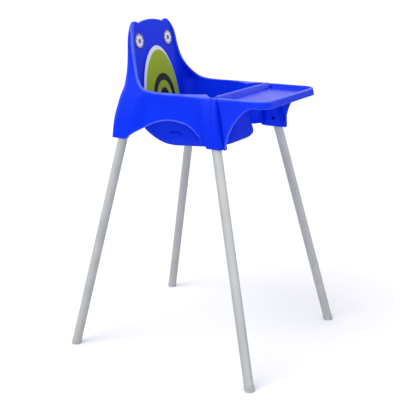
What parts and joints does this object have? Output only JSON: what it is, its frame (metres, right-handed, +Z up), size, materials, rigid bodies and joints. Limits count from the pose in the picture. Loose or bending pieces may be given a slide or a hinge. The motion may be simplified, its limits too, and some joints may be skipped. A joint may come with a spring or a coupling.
{
  "type": "baby high chair",
  "caption": "Moulded plastic baby high chair with splayed tube legs, a high rounded back, arms, a lift-off tray and a lap harness in the seat.",
  "frame": {"origin": "on the floor, midway between the four feet", "axes": "+Z up; the chair faces -Y; +X towards the seated child's left"},
  "size_m": [0.5632, 0.5947, 0.911],
  "materials": {
    "shell_polypropylene": "satin moulded polypropylene, saturated blue",
    "tray_polypropylene": "satin moulded polypropylene, glossy on the eating surface",
    "leg_aluminium": "satin anodised aluminium tube",
    "foot_plastic": "moulded grey polyethylene",
    "screw_steel": "zinc-plated steel",
    "back_film": "printed film, lime with a pale border",
    "roundel_film": "printed film, white and violet",
    "harness_webbing": "woven polyester webbing",
    "buckle_plastic": "moulded acetal",
    "button_plastic": "moulded acetal"
  },
  "bodies": {
    "frame": {"seat_shell": "shell_polypropylene", "leg_front_left": "leg_aluminium", "leg_front_right": "leg_aluminium", "leg_rear_left": "leg_aluminium", "leg_rear_right": "leg_aluminium", "foot_front_left": "foot_plastic", "foot_front_right": "foot_plastic", "foot_rear_left": "foot_plastic", "foot_rear_right": "foot_plastic", "leg_screws": "screw_steel", "back_label": "back_film", "roundel_left": "roundel_film", "roundel_right": "roundel_film", "lap_strap_left": "harness_webbing", "lap_strap_right": "harness_webbing", "crotch_strap": "harness_webbing", "harness_buckle": "buckle_plastic", "buckle_tongue_left": "buckle_plastic", "buckle_tongue_right": "buckle_plastic", "strap_anchor_bars": "buckle_plastic"},
    "tray": {"tray": "tray_polypropylene"},
    "buckle_button": {"buckle_button": "button_plastic"},
    "strap_adjuster_left": {"strap_adjuster_left": "buckle_plastic"},
    "strap_adjuster_right": {"strap_adjuster_right": "buckle_plastic"}
  },
  "joints": [
    {"name": "tray_lift", "type": "slide", "parent": "frame", "child": "tray", "axis": [0, 0, 1], "range_m": [0, 0.16]},
    {"name": "button_press", "type": "slide", "parent": "frame", "child": "buckle_button", "axis": [0, -0.0683, -0.9977], "range_m": [0, 0.0022], "stiffness_N_per_m": 600},
    {"name": "adjuster_slide_left", "type": "slide", "parent": "frame", "child": "strap_adjuster_left", "axis": [1, 0, 0], "range_m": [-0.006, 0.01]},
    {"name": "adjuster_slide_right", "type": "slide", "parent": "frame", "child": "strap_adjuster_right", "axis": [-1, 0, 0], "range_m": [-0.006, 0.01]}
  ]
}
